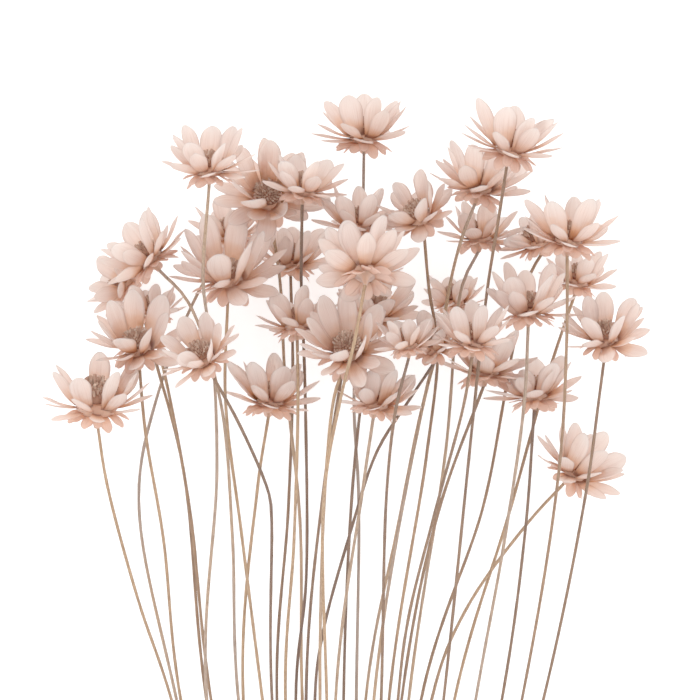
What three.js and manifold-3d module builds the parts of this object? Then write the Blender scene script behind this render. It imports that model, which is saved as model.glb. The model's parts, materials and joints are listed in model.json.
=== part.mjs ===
// Dried star flower bouquet: papery pink flower heads on thin bare stems, bound with twine,
// lying on a flat surface. Millimetres, +Z up. +Y runs along the bunch towards the flowers and
// +X across it. The origin is on the surface, under the middle of the bunch.

import * as THREE from 'three';
import Module from 'manifold-3d';

const wasm = await Module();
wasm.setup();

// Lengths along the bunch. y = 0 is where the stems have spread to the width of the fan.
const tieY = -170;
const cutY = -225;
const cutSpread = 8;
const forkY = -114;

// Stems. A pair forks over forkRise, and the branch leaves the stalk by forkStep.
const stemRadius = 0.55;
const forkRise = 2.6;
const forkStep = 2.2;
const fanShare = 0.58;
const longStretch = 32;
const endSpread = 1.7;

// The tie, the columns of stalks in it from left to right, and its twine. Between two turns the
// surface falls back to the groove's share of the twine's thickness, and the ridge is a turn's flat.
// An end leaves the top of the winding at one of its faces.
const tieColumns = [3, 4, 4, 4, 3];
const slotPitch = 1.4;
const tieSides = 12;
const tieHole = 4.65;
const tieHeight = 5.15;
const twine = 1.5;
const twineTurns = 4;
const twineGroove = 0.55;
const twineRidge = [0.22, 0.78];
const tieEnds = [
  {
    face: 6,
    path: [
      [0, -0.75, 10.6], [1.5, -0.9, 13], [6.6, -1.6, 11.2], [9.4, -3, 4.6], [13, -6, 0.8], [21, -10, 0.8],
    ],
  },
  {
    face: 9,
    path: [
      [0, 0.75, 10.6], [-1.5, 1, 13], [-6.6, 1.6, 11], [-9.4, 2, 4.4], [-13, 1, 0.8], [-20, -4, 0.8],
    ],
  },
];

// Petals round a head, by its width
const petalCounts = [
  { upTo: 19.4, count: 6 },
  { upTo: 25.4, count: 7 },
  { upTo: Infinity, count: 8 },
];
const usualCount = 7;
const firstPetal = 0.75;
const bladeThickness = 0.72;
const clearance = 0.12;
const spread = { length: 0.1, width: 0.08, sway: 0.08, bend: 5 };

// The ring that carries the petals, at a head 24 mm wide: radius and height of each rim
const fullHead = 24;
const rims = [
  { radius: 1.9, height: 0 },
  { radius: 3.0, height: 0.5 },
  { radius: 3.8, height: 1.5 },
  { radius: 3.1, height: 2.4 },
];
const ringHole = 1.35;
const neckRadius = 0.8;
const neckRise = 1.6;
const discSides = 8;
const discRadius = 3.15;
const discHeight = 3.6;
const discGap = 0.4;
const discEdge = 0.2;
const discShoulder = { radius: 0.7, height: 0.75 };
const discTurn = -1.5;

// Heads with a larger disc, by their number, and by how much their ring and disc are larger
const largeDiscs = { 34: 1.55 };

// The three whorls, from the stem up. Rise is the slope in degrees at the root, curl what it gains by
// the tip, and twist lifts the right edge over the next petal. Length and width are shares of half the
// head's width, and cup is how far the edges rise as a share of the width. Each station has its place
// along the petal, and how wide the petal is there as a share of its width.
const whorls = [
  { rise: -30, curl: -8, twist: 0, length: 0.36, width: 0.22, cup: 0, stations: [] },
  { rise: 4, curl: 18, twist: 6, length: 0.8, width: 0.44, cup: 0.08, stations: [[0.5, 1], [0.84, 0.64]] },
  { rise: 42, curl: 30, twist: 12, length: 0.96, width: 0.5, cup: 0.1, stations: [[0.52, 1], [0.85, 0.64]] },
];

// A petal that is in the way is turned by these degrees in turn, and then tried again shorter
const bends = [0, 7, -7, 14, -14, 21, -21, 28, -28, 36, -36];
const reaches = [1, 0.86, 0.72, 0.58, 0.46];
const sharedVolume = 0.002;

// Each flower: x, y, z of its base, its lean to the right and its turn towards +Z in degrees, its
// width, and the points that its stem passes from y = 0 upwards, as x, y or, off its straight rise,
// x, y, z
const flowers = [
  { at: [-35, 130.8, 54], lean: 0, face: 10, width: 23,
    stem: [[-35.8, 0], [-33.2, 58], [-34.4, 88, 40.5], [-36.6, 104, 46]] },
  { at: [-20.5, 125, 26], lean: 0, face: 62, width: 25,
    stem: [[-12, 0, 12], [-12.6, 45, 12.5], [-16.4, 82, 13], [-17.5, 104, 18]] },
  { at: [-11.8, 125.8, 41], lean: 5, face: 5, width: 19,
    stem: [[-13.6, 0, 18], [-11, 30, 19], [-11.2, 74, 19], [-11.6, 88, 19.5], [-12.2, 103, 26]] },
  { at: [-30, 115, 12], lean: -5, face: 20, width: 18,
    stem: [[-43.8, 0, 6], [-53.2, 50, 5], [-48.8, 75, 5], [-37.2, 103.8, 9]] },
  { at: [-30.5, 103.8, 30], lean: 0, face: 25, width: 29,
    stem: [[-22, 0], [-27.2, 41.5], [-31.2, 75]] },
  { at: [-14.8, 108, 13], lean: 5, face: 10, width: 20,
    stem: [[-18.4, 0, 7.5], [-15.5, 48, 8], [-14.4, 82, 8.5]] },
  { at: [-49, 109, 34], lean: -38, face: 0, width: 22.5,
    stem: [[-28, 0], [-29.5, 41.5], [-32.5, 75], [-40.5, 99.5]] },
  { at: [-55, 103.2, 9], lean: -60, face: -10, width: 18,
    stem: [[-36.2, 0], [-42, 57.8], [-49.2, 85.8]] },
  { at: [3.5, 139.2, 26], lean: 0, face: 5, width: 24,
    stem: [[1.6, 0, 13], [2.2, 50, 13], [1, 75, 14], [3.2, 122, 18]] },
  { at: [1.8, 117, 34], lean: 0, face: 5, width: 21,
    stem: [[-11, 0], [-6.6, 52.8], [-2, 82]] },
  { at: [17.8, 119.5, 36], lean: -25, face: 30, width: 19,
    stem: [[9.8, 0], [19.2, 61, 20], [22, 88, 22.5], [19.8, 102.5, 30]] },
  { at: [31.8, 126.2, 36], lean: 12, face: 0, width: 24,
    stem: [[6, 0], [18, 72, 18], [23, 92, 21.5], [25, 103.8, 28], [27.8, 115, 33]] },
  { at: [32.5, 114, 22], lean: 5, face: -5, width: 19,
    stem: [[14.8, 0], [24, 62], [28.2, 103.8]] },
  { at: [3.8, 105.5, 58], lean: 0, face: -35, width: 25,
    stem: [[-5.8, 0], [-6.4, 52, 56], [-2.2, 76, 61.5], [1.2, 90, 63]] },
  { at: [39.5, 135.8, 54], lean: 12, face: 10, width: 24.5,
    stem: [[23.4, 0], [30.2, 65, 34], [33, 92, 39.5], [34.6, 105, 41.5], [37, 120, 47]] },
  { at: [54.2, 113.2, 52], lean: 5, face: 5, width: 24,
    stem: [[43, 0], [52.2, 58], [54, 90]] },
  { at: [47.5, 113, 22], lean: -20, face: 5, width: 17.5,
    stem: [[18, 0, 8.5], [33.5, 48.2, 11.5], [38.5, 73.8, 12.5], [41, 88, 13.5], [45.2, 106.5, 19]] },
  { at: [56.8, 103, 9], lean: 10, face: 0, width: 17.5,
    stem: [[26.4, 0], [40.2, 47], [49.8, 81.2]] },
  { at: [63.8, 88.8, 38], lean: 0, face: 25, width: 22.5,
    stem: [[48.5, 0], [59.2, 52.8], [62.2, 75]] },
  { at: [44.5, 95.5, 42], lean: 0, face: 5, width: 23.5,
    stem: [[31.5, 0], [38.5, 39], [43.5, 74]] },
  { at: [26.2, 98, 8], lean: 0, face: 0, width: 15,
    stem: [[4, 0], [12.2, 43.8], [18, 72.5], [22.2, 88]] },
  { at: [6, 95.5, 24], lean: 15, face: 30, width: 21,
    stem: [[-1.6, 0], [0.8, 55, 19], [4.6, 88]] },
  { at: [-13.2, 91.8, 32], lean: 0, face: -10, width: 19,
    stem: [[-16.2, 0], [-14, 40, 32], [-13, 74, 36]] },
  { at: [-0.5, 86.2, 42.5], lean: -5, face: 45, width: 26,
    stem: [[-7.5, 0], [-5.6, 62], [-3.4, 78]] },
  { at: [6.2, 72.5, 38], lean: 12, face: 5, width: 20.5,
    stem: [[-3.6, 0], [3.2, 52.8]] },
  { at: [14.5, 87.2, 52], lean: -5, face: 0, width: 15,
    stem: [[7.8, 0], [9.2, 52.8], [11.5, 73.2]] },
  { at: [21.5, 86.8, 34], lean: -10, face: 20, width: 16.5,
    stem: [[-8.8, 0, 23.2], [-6.8, 16.5, 24], [0, 41.5], [6.8, 62.2], [14.5, 74.5, 30]] },
  { at: [30.5, 87.8, 51], lean: 0, face: 5, width: 21,
    stem: [[12, 0], [14.5, 20], [21.2, 47], [28.2, 73.2]] },
  { at: [33.8, 80.5, 27], lean: 5, face: 0, width: 23.5,
    stem: [[13, 0], [22.2, 47], [31.8, 74]] },
  { at: [46.2, 74.5, 25], lean: 0, face: 0, width: 22,
    stem: [[38.2, 0], [44, 42.5]] },
  { at: [55.2, 55.8, 20], lean: 38, face: 15, width: 23,
    stem: [[20.6, 0], [29, 22, 13], [44.8, 44.2, 15]] },
  { at: [-53, 87, 32], lean: -5, face: 35, width: 24,
    stem: [[-42.5, 0], [-46.8, 40.5], [-51.2, 66.8]] },
  { at: [-36.2, 84.5, 50], lean: -30, face: 35, width: 20,
    stem: [[-19.5, 0], [-19.6, 46], [-20.2, 51.5], [-27.5, 68.8]] },
  { at: [-63.2, 71.2, 38], lean: 0, face: 15, width: 22.5,
    stem: [[-44.8, 0], [-53, 24.8], [-60.8, 54.2]] },
  { at: [-20.2, 73, 26], lean: 5, face: 3, width: 23,
    stem: [[-26.8, 0], [-23.2, 52.8]] },
  { at: [-49.5, 95.5, 17], lean: 0, face: 0, width: 15,
    stem: [[-35, 0], [-40.2, 47], [-45.2, 75, 13.5]] },
];

// These heads lie on the surface, one on each side, past the middle of the weight
const resting = [8, 18];

const petalLook = new THREE.MeshStandardMaterial({ color: 0xe2bdae, roughness: 0.85, metalness: 0 });
const stemLook = new THREE.MeshStandardMaterial({ color: 0xa98b72, roughness: 0.9, metalness: 0 });
const twineLook = new THREE.MeshStandardMaterial({ color: 0xbf9f70, roughness: 0.95, metalness: 0 });

const tau = 2 * Math.PI;

// Repeatable random numbers between -1 and 1
function randomFrom(seed) {
  let state = seed;
  return () => {
    state = (state * 1664525 + 1013904223) % 4294967296;
    return state / 2147483648 - 1;
  };
}

// A closed surface, gathered point by point. Rings turn anticlockwise as seen from their far end.
class Surface {
  constructor() {
    this.points = [];
    this.faces = [];
  }

  ring(points) {
    return points.map((point) => this.points.push(point) - 1);
  }

  // Joins two rings of equal count, leaving out the quads in skip
  join(from, to, skip = []) {
    from.forEach((a, i) => {
      if (skip.includes(i)) return;
      const b = from[(i + 1) % from.length];
      const c = to[(i + 1) % to.length];
      const d = to[i];
      if (i % 2) this.faces.push([a, b, d], [b, c, d]);
      else this.faces.push([a, b, c], [a, c, d]);
    });
  }

  // Joins a ring to one of twice its count
  widen(from, to) {
    from.forEach((a, i) => {
      const b = from[(i + 1) % from.length];
      const c = to[2 * i];
      const d = to[2 * i + 1];
      const e = to[(2 * i + 2) % to.length];
      this.faces.push([a, d, c], [a, b, d], [b, e, d]);
    });
  }

  point(ring, tip) {
    const [end] = this.ring([tip]);
    ring.forEach((a, i) => this.faces.push([a, ring[(i + 1) % ring.length], end]));
  }

  // Closes a ring with a flat end
  cap(ring) {
    for (let i = 1; i < ring.length - 1; i++) this.faces.push([ring[0], ring[i], ring[i + 1]]);
  }

  mesh(name, look) {
    const geometry = new THREE.BufferGeometry();
    const numbers = this.points.flatMap((point) => point.toArray());
    geometry.setAttribute('position', new THREE.Float32BufferAttribute(numbers, 3));
    geometry.setIndex(this.faces.flat());
    geometry.computeVertexNormals();
    const mesh = new THREE.Mesh(geometry, look.clone());
    mesh.name = name;
    return mesh;
  }

  // What other pieces have to stay clear of
  obstacle() {
    const vertProperties = new Float32Array(this.points.flatMap((point) => point.toArray()));
    const triVerts = new Uint32Array(this.faces.flat());
    const solid = new wasm.Manifold(new wasm.Mesh({ numProp: 3, vertProperties, triVerts }));
    return { solid, box: new THREE.Box3().setFromPoints(this.points) };
  }
}

// True if a piece shares room with any of the others
function meets(piece, others) {
  return others.some((other) => (
    other.box.intersectsBox(piece.box) && other.solid.intersect(piece.solid).volume() > sharedVolume
  ));
}

// Gives a flower its frame: its base, the direction that it looks in and two sides at right angles
function placeFlower(flower, index) {
  const lean = THREE.MathUtils.degToRad(flower.lean);
  const face = THREE.MathUtils.degToRad(flower.face);
  const upright = new THREE.Vector3(Math.sin(lean), Math.cos(lean), 0);
  const axis = upright.multiplyScalar(Math.cos(face)).setZ(Math.sin(face));
  const right = new THREE.Vector3(Math.cos(lean), -Math.sin(lean), 0);
  const number = index + 1;
  const heart = largeDiscs[number] ?? 1;
  return {
    ...flower,
    number,
    heart,
    base: new THREE.Vector3(...flower.at),
    axis,
    right,
    back: new THREE.Vector3().crossVectors(axis, right),
    scale: heart * Math.sqrt(flower.width / fullHead),
    count: petalCounts.find(({ upTo }) => flower.width <= upTo).count,
  };
}

// A point beside a flower's axis: distance from it, angle round it and height up it
function around(flower, radius, angle, height) {
  return flower.base.clone()
    .addScaledVector(flower.right, radius * Math.cos(angle))
    .addScaledVector(flower.back, radius * Math.sin(angle))
    .addScaledVector(flower.axis, height);
}

function circle(flower, count, radius, height, turn) {
  return Array.from({ length: count }, (_, i) => around(flower, radius, tau * (i + turn) / count, height));
}

// The ring under a head's petals, with a hole for the stem. Each rim is half a petal further round
// than the one below, so the petals of each whorl stand between those of the last.
function growRing(surface, flower) {
  const { count, scale } = flower;
  const loops = rims.map(({ radius, height }, i) => (
    surface.ring(circle(flower, count, radius * scale, height * scale, i / 2))
  ));
  const turn = (rims.length - 1) / 2;
  const holeTop = surface.ring(circle(flower, count, ringHole, rims.at(-1).height * scale, turn));
  const holeBottom = surface.ring(circle(flower, count, ringHole, 0, turn));
  surface.join(loops.at(-1), holeTop);
  surface.join(holeTop, holeBottom);
  surface.join(holeBottom, [...loops[0].slice(1), loops[0][0]]);
  return loops;
}

// The four corners that a petal grows from
function rootOf(loops, { level, index }) {
  const next = (index + 1) % loops[0].length;
  return [loops[level][index], loops[level][next], loops[level + 1][next], loops[level + 1][index]];
}

// One petal: left edge, underside, right edge and upper side at each station, and its tip. Bend turns
// it about its root, reach is the share of its full length, and swell makes it larger all round.
function growPetal(surface, root, flower, petal, swell = 0) {
  const { whorl, angle, bend, reach, sway, length, width } = petal;
  const outward = around(flower, 1, angle, 0).sub(flower.base);
  const sideways = new THREE.Vector3().crossVectors(flower.axis, outward);
  const spot = new THREE.Vector3();
  root.forEach((corner) => spot.addScaledVector(surface.points[corner], 1 / root.length));
  let ring = root;
  let gone = 0;
  [...whorl.stations, [1, 0]].forEach(([station, share]) => {
    const slope = THREE.MathUtils.degToRad(whorl.rise + bend + whorl.curl * (gone + station) / 2);
    const along = outward.clone().multiplyScalar(Math.cos(slope))
      .addScaledVector(flower.axis, Math.sin(slope))
      .addScaledVector(sideways, sway);
    const twist = THREE.MathUtils.degToRad(whorl.twist);
    const across = sideways.clone().applyAxisAngle(along.clone().normalize(), twist);
    const up = new THREE.Vector3().crossVectors(along, across).normalize();
    spot.addScaledVector(along, (length * reach + swell) * (station - gone));
    gone = station;
    if (station === 1) return;
    const half = width * share / 2 + swell;
    const thick = bladeThickness / 2 + swell;
    const edge = whorl.cup * width;
    const next = surface.ring([[-half, edge], [0, -thick], [half, edge], [0, thick]]
      .map(([aside, above]) => spot.clone().addScaledVector(across, aside).addScaledVector(up, above)));
    surface.join(ring, next);
    ring = next;
  });
  surface.point(ring, spot);
}

// The petals of a head as they would stand with nothing near them
function drawPetals(flower, random) {
  const half = flower.width / 2;
  return whorls.flatMap((whorl, level) => Array.from({ length: flower.count }, (_, index) => ({
    whorl,
    level,
    index,
    angle: tau * (index + level / 2 + firstPetal) / flower.count,
    length: half * whorl.length * (1 + spread.length * random()),
    width: half * whorl.width * (1 + spread.width * random()) * usualCount / flower.count,
    sway: spread.sway * random(),
    bend: spread.bend * random(),
    reach: 1,
  })));
}

function growHead(flower, petals) {
  const surface = new Surface();
  const loops = growRing(surface, flower);
  petals.forEach((petal) => growPetal(surface, rootOf(loops, petal), flower, petal));
  return surface;
}

// The ring under a head as a solid of its own
function petalRingAlone(flower) {
  const surface = new Surface();
  const loops = growRing(surface, flower);
  loops.slice(1).forEach((loop, level) => surface.join(loops[level], loop));
  return surface.obstacle();
}

// A petal as a solid of its own
function petalAlone(flower, petal, swell) {
  const ring = new Surface();
  const root = rootOf(growRing(ring, flower), petal);
  const surface = new Surface();
  const corners = surface.ring(root.map((corner) => ring.points[corner]));
  surface.cap([...corners].reverse());
  growPetal(surface, corners, flower, petal, swell);
  return surface.obstacle();
}

// Bends a petal little by little, and shortens it if need be, until it is clear of what stands near
function clearPetal(flower, petal, others, own) {
  for (const reach of reaches) {
    for (const bend of bends) {
      const tried = { ...petal, bend: petal.bend + bend, reach };
      const alone = petalAlone(flower, tried, 0);
      if (alone.box.min.z > -0.001 && !meets(alone, own)
        && !meets(petalAlone(flower, tried, clearance), others)) {
        own.push(alone);
        return tried;
      }
    }
  }
  throw new Error(`petal ${petal.level}.${petal.index} of flower ${flower.number} has no room`);
}

// The upper part of a stem's way, from where the fan opens to just under its flower
function stemWay({ base, axis, stem }) {
  const height = (y) => tieHeight + (base.z - tieHeight) * (fanShare + (1 - fanShare) * y / base.y);
  const points = stem.map(([x, y, z]) => new THREE.Vector3(x, y, z ?? height(y)));
  return [...points, base.clone().addScaledVector(axis, -neckRise)];
}

// A square ring across a stem. The face between its corners 0 and 1 looks along normal.
function squareRing(surface, centre, tangent, normal, radius) {
  const side = new THREE.Vector3().crossVectors(tangent, normal);
  return surface.ring([-1, 1, 3, 5].map((step) => centre.clone()
    .addScaledVector(normal, radius * Math.cos(step * tau / 8))
    .addScaledVector(side, radius * Math.sin(step * tau / 8))));
}

function squareTo(normal, direction) {
  return normal.addScaledVector(direction, -normal.dot(direction)).normalize();
}

// Runs a square tube along a path, with a ring at each point and half way along each long stretch.
// It grows from a root's corners, or else starts with a flat end. Between point openAt and the next
// the face along normal is left open, and its corners are handed back.
function growTube(surface, root, path, normal, radius, openAt) {
  const curve = new THREE.CatmullRomCurve3(path, false, 'centripetal');
  const last = path.length - 1;
  const isLong = (i) => path[Math.floor(i)].distanceTo(path[Math.ceil(i)]) > longStretch;
  const stops = Array.from({ length: 2 * last + 1 }, (_, i) => i / 2)
    .filter((stop) => (Number.isInteger(stop) || isLong(stop)) && (!root || stop >= 1));
  let ring = root;
  let opening;
  stops.forEach((stop) => {
    const tangent = curve.getTangent(stop / last);
    squareTo(normal, tangent);
    const next = squareRing(surface, curve.getPoint(stop / last), tangent, normal, radius);
    const open = stop === openAt + 1;
    if (open) opening = { corners: [ring[0], ring[1], next[1], next[0]], outward: normal.clone() };
    if (ring) surface.join(ring, next, open ? [0] : []);
    else surface.cap([...next].reverse());
    ring = next;
  });
  return { ring, opening };
}

// The neck that passes through the petal ring, and the domed disc above it
function growDisc(surface, ring, flower, normal) {
  const { axis, scale, heart } = flower;
  const low = rims.at(-1).height * scale + discGap;
  const height = discHeight * heart;
  squareTo(normal, axis);
  const foot = squareRing(surface, around(flower, 0, 0, -neckRise / 4), axis, normal, neckRadius);
  const top = squareRing(surface, around(flower, 0, 0, low), axis, normal, neckRadius);
  surface.join(ring, foot);
  surface.join(foot, top);
  const disc = { ...flower, right: normal, back: new THREE.Vector3().crossVectors(axis, normal) };
  const radius = discRadius * scale;
  const wide = surface.ring(circle(disc, discSides, radius, low + discEdge, discTurn));
  const shoulder = low + discShoulder.height * height;
  const round = surface.ring(circle(disc, discSides, discShoulder.radius * radius, shoulder, discTurn));
  surface.widen(top, wide);
  surface.join(wide, round);
  surface.point(round, around(flower, 0, 0, low + height));
}

// Two stems that fork from one stalk, each with its neck and disc
function growStems([main, branch], slot, random) {
  const surface = new Surface();
  const mainWay = stemWay(main);
  const branchWay = stemWay(branch);
  const middle = mainWay[0].clone().lerp(branchWay[0], 0.5);
  const upward = middle.clone().sub(slot).normalize();
  const fork = slot.clone().lerp(middle, 1 - forkY / tieY);
  const forkTop = fork.clone().addScaledVector(upward, forkRise);
  const end = new THREE.Vector3(slot.x * endSpread, cutY + cutSpread * random(), 0)
    .setZ(tieHeight + (slot.z - tieHeight) * endSpread);

  const stalk = [end, slot, fork, forkTop, ...mainWay];
  const normal = branchWay[0].clone().sub(mainWay[0]);
  const grown = growTube(surface, null, stalk, normal, stemRadius, stalk.indexOf(fork));
  growDisc(surface, grown.ring, main, normal);

  const { corners, outward } = grown.opening;
  const crotch = fork.clone().lerp(forkTop, 0.5).addScaledVector(outward, stemRadius / 2);
  const away = crotch.clone().addScaledVector(upward, 2 * forkStep).addScaledVector(outward, forkStep);
  const branched = growTube(surface, corners, [crotch, away, ...branchWay], outward, stemRadius);
  growDisc(surface, branched.ring, branch, outward);
  return surface;
}

// Where each stalk stands in the tie: columns from left to right, and rows from the lowest up
function shareOut(pairs) {
  const height = (pair) => pair[0].base.z + pair[1].base.z;
  const waiting = [...pairs];
  return tieColumns.flatMap((rows, column) => (
    waiting.splice(0, rows)
      .sort((a, b) => height(a) - height(b))
      .map((pair, row) => {
        const x = (column - (tieColumns.length - 1) / 2) * slotPitch;
        const z = tieHeight + (row - (rows - 1) / 2) * slotPitch;
        return { pair, slot: new THREE.Vector3(x, tieY, z) };
      })
  ));
}

// Turns of twine round the stalks, pressed flat underneath, with two ends that hang to the surface
function growTie() {
  const surface = new Surface();
  const half = twine * twineTurns / 2;
  const groove = tieHole + twineGroove * twine;
  const ridge = tieHole + twine;
  const profile = [[tieHole, half], [tieHole, -half], [groove, -half]];
  for (let turn = 0; turn < twineTurns; turn++) {
    const y = twine * turn - half;
    twineRidge.forEach((share) => profile.push([ridge, y + share * twine]));
    profile.push([groove, y + twine]);
  }
  const loops = Array.from({ length: tieSides }, (_, i) => {
    const angle = tau * (i + 0.5) / tieSides;
    return surface.ring(profile.map(([radius, y]) => new THREE.Vector3(
      radius * Math.cos(angle),
      tieY + y,
      Math.max(tieHeight + radius * Math.sin(angle), 0),
    )));
  });
  const top = tieSides / 4 - 1;
  const faces = tieEnds.map(({ face }) => face);
  loops.forEach((loop, i) => {
    surface.join(loop, loops[(i + 1) % tieSides], i === top ? faces : []);
  });
  tieEnds.forEach(({ face, path }) => {
    const right = loops[top];
    const left = loops[top + 1];
    const corners = [right[face], right[face + 1], left[face + 1], left[face]];
    const points = path.map(([x, y, z]) => new THREE.Vector3(x, tieY + y, z));
    const { ring } = growTube(surface, corners, points, new THREE.Vector3(1, 0, 0), twine / 2);
    surface.cap(ring);
  });
  return surface;
}

const random = randomFrom(36);
const heads = flowers.map(placeFlower);
heads.forEach((flower) => {
  flower.petals = drawPetals(flower, random);
  if (resting.includes(flower.number)) {
    flower.base.z = 0;
    flower.base.z = -growHead(flower, flower.petals).obstacle().box.min.z;
  }
});

const bunch = new THREE.Group();
bunch.name = 'dried_star_flowers';
const twoDigits = (number) => String(number).padStart(2, '0');

// Stems that stand next to each other where the fan opens share a stalk
const inOrder = [...heads].sort((a, b) => a.stem[0][0] - b.stem[0][0]);
const pairs = Array.from({ length: inOrder.length / 2 }, (_, i) => inOrder.slice(2 * i, 2 * i + 2));
const stems = shareOut(pairs).map(({ pair, slot }) => {
  const surface = growStems(pair, slot, random);
  const name = `stems_${twoDigits(pair[0].number)}_${twoDigits(pair[1].number)}`;
  bunch.add(surface.mesh(name, stemLook));
  return surface.obstacle();
});

// The heads on the surface come first, and then the others from the top down
const rank = ({ number, base }) => (resting.includes(number) ? Infinity : base.z);
const placed = heads.map((flower) => ({ flower, ...petalRingAlone(flower) }));
[...heads].sort((a, b) => rank(b) - rank(a)).forEach((flower) => {
  const others = [...stems, ...placed.filter((piece) => piece.flower !== flower)];
  const own = [];
  const petals = flower.petals.map((petal) => clearPetal(flower, petal, others, own));
  placed.push(...own.map((piece) => ({ flower, ...piece })));
  bunch.add(growHead(flower, petals).mesh(`bloom_${twoDigits(flower.number)}`, petalLook));
});
bunch.add(growTie().mesh('tie', twineLook));

const size = new THREE.Box3().setFromObject(bunch);
bunch.position.set(-(size.min.x + size.max.x) / 2, -(size.min.y + size.max.y) / 2, -size.min.z);
bunch.updateMatrixWorld(true);

export default bunch;
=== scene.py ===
import json
from math import cos, pi, radians, sin, sqrt, tau

import bpy
from mathutils import Matrix, Vector
from mathutils.bvhtree import BVHTree


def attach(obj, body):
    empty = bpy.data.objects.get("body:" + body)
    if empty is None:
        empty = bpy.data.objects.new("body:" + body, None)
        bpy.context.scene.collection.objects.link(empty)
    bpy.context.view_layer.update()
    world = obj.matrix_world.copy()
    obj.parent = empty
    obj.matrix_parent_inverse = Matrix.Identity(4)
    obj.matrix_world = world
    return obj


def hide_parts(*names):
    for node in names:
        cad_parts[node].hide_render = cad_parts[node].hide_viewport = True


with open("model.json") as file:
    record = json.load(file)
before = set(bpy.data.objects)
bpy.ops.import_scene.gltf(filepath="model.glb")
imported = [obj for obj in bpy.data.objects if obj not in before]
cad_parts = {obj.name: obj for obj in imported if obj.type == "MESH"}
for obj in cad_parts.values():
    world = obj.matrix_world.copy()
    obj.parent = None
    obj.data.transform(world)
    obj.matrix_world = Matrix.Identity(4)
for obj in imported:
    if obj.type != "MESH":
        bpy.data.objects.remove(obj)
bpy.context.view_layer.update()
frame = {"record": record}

# A dried star flower bouquet: papery pink heads on thin bare stems, tied with twine and lying down.
# Places are in millimetres on the table, with y = 0 where the stems have spread to the width of the fan.

bpy.ops.object.select_all(action="DESELECT")

mm = 0.001

# Lengths along the bunch
tie_y = -170
cut_y = -225
cut_spread = 8
fork_y = -114

# Stems
stem_radius = 0.41
stalk_radius = 0.38
strand_offset = 0.3
fan_share = 0.58
end_spread = 1.7
neck_rise = 1.6
point_step = 3
stem_unevenness = 0.07

# The tie
tie_columns = [3, 4, 4, 4, 3]
slot_pitch = 1.4
tie_hole = 4.05
tie_height = 5.15
twine = 1.5
twine_turns = 4
turn_steps = 48
strand_radius = twine / 4
strand_sink = 0.05
strand_twist = 5
knot = dict(length=1.4, width=1.5, height=1.1, z=11.1, turns=2)
end_step = 0.7
tie_ends = [
    [(0, -0.75, 10), (1.5, -0.9, 12.6), (6.6, -1.6, 11.2), (9.4, -3, 4.6), (13, -6, 0.8), (21, -10, 0.8)],
    [(0, 0.75, 10), (-1.5, 1, 12.6), (-6.6, 1.6, 11), (-9.4, 2, 4.4), (-13, 1, 0.8), (-20, -4, 0.8)],
]

# The hairs at each frayed end: their number, their radii, and how far they reach along and aside
fray_hairs = 14
hair_radii = [0.09, 0.07, 0.04]
hair_reaches = [(0, 0), (1.4, 0.4), (2.6, 1.1)]
hair_lift = 0.3

# Heads: how many petals a whorl has in heads up to each width, and where the first one stands, in petals
petal_counts = [(19.4, 6), (25.4, 7), (99, 8)]
usual_count = 7
first_petal = 0.75
full_head = 24
petal_thickness = 0.1
middle_tone = 0.5

# How far petals differ: by chance in shares and degrees, and in slow waves from petal to petal
spread = dict(length=0.1, width=0.08, sway=0.08, bend=5)
twirl = 20
twirl_pace = 7
loose_bend = 9
loose_pace = 5

# How a petal gives way to what is near: bends in degrees, then shorter reaches, as shares. It also
# stays this far above the surface.
bends = [0, 7, -7, 14, -14, 21, -21, 28, -28, 36, -36]
reaches = [1, 0.86, 0.72, 0.58, 0.46]
surface_gap = 0.35
rounding = 0.001

# The ruffle along a petal's edges: its height, where it starts and how fast it goes up and down
ruffle_height = 0.25
ruffle_start = 3
ruffle_pace = 8

# The disc stands this far above the ring that carries the petals
ring_height = 2.4
disc_gap = 0.4
disc_radius = 3.15
disc_height = 3.6

# Heads with a larger disc, by their number, and by how much their ring and disc are larger
large_discs = {34: 1.55}

# The whorls of a head, from the stem up. Root is the radius and height that its petals grow from, turn
# is how far it stands round from the lowest, in petals, and the rest is in degrees or in shares.
whorls = [
    dict(form="bract", root=(2.3, 0.2), turn=0, rise=-30, curl=-8, twist=0,
         length=0.4, width=0.26, cup=0.1),
    dict(form="outer", root=(3.3, 1.0), turn=0.5, rise=-3, curl=24, twist=6,
         length=0.82, width=0.4, cup=0.1),
    dict(form="inner", root=(3.4, 1.95), turn=1, rise=42, curl=32, twist=12,
         length=1, width=0.46, cup=0.2),
]

# Two more whorls that fill the gaps between those
filling = [
    dict(form="bract", root=(2.5, 0.4), turn=0.5, rise=-14, curl=-8, twist=0,
         length=0.42, width=0.24, cup=0.1),
    dict(form="outer", root=(3.4, 1.5), turn=0.1, rise=20, curl=30, twist=8,
         length=0.9, width=0.38, cup=0.16),
]

# Petal outlines: the rows of a petal from its root, and its width at each as a share
petal_columns = 6
same_row = 0.01
petal_rows = [0, 0.16, 0.31, 0.45, 0.59, 0.71, 0.81, 0.89, 0.95, 0.985, 1]
petal_forms = {
    "bract": [0.74, 0.87, 0.96, 1, 0.99, 0.92, 0.79, 0.62, 0.42, 0.25, 0.1],
    "outer": [0.5, 0.66, 0.82, 0.95, 1, 0.94, 0.8, 0.6, 0.38, 0.22, 0.08],
    "inner": [0.52, 0.66, 0.8, 0.93, 1, 0.98, 0.88, 0.7, 0.48, 0.3, 0.12],
}

# The cup under the petals and the disc, each from its lower face up: radius and height
cup_profile = [
    (0.5, -2.2), (0.85, -1), (1.2, -0.4), (2.0, 0), (3.0, 0.5), (3.6, 1.4), (3.1, 2.3), (1.4, 2.5),
]
cup_sides = 20
disc_profile = [(0.4, -0.1), (0.9, 0), (1, 0.1), (0.94, 0.35), (0.72, 0.6), (0.4, 0.74), (0.1, 0.78)]
disc_sides = 24

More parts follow.
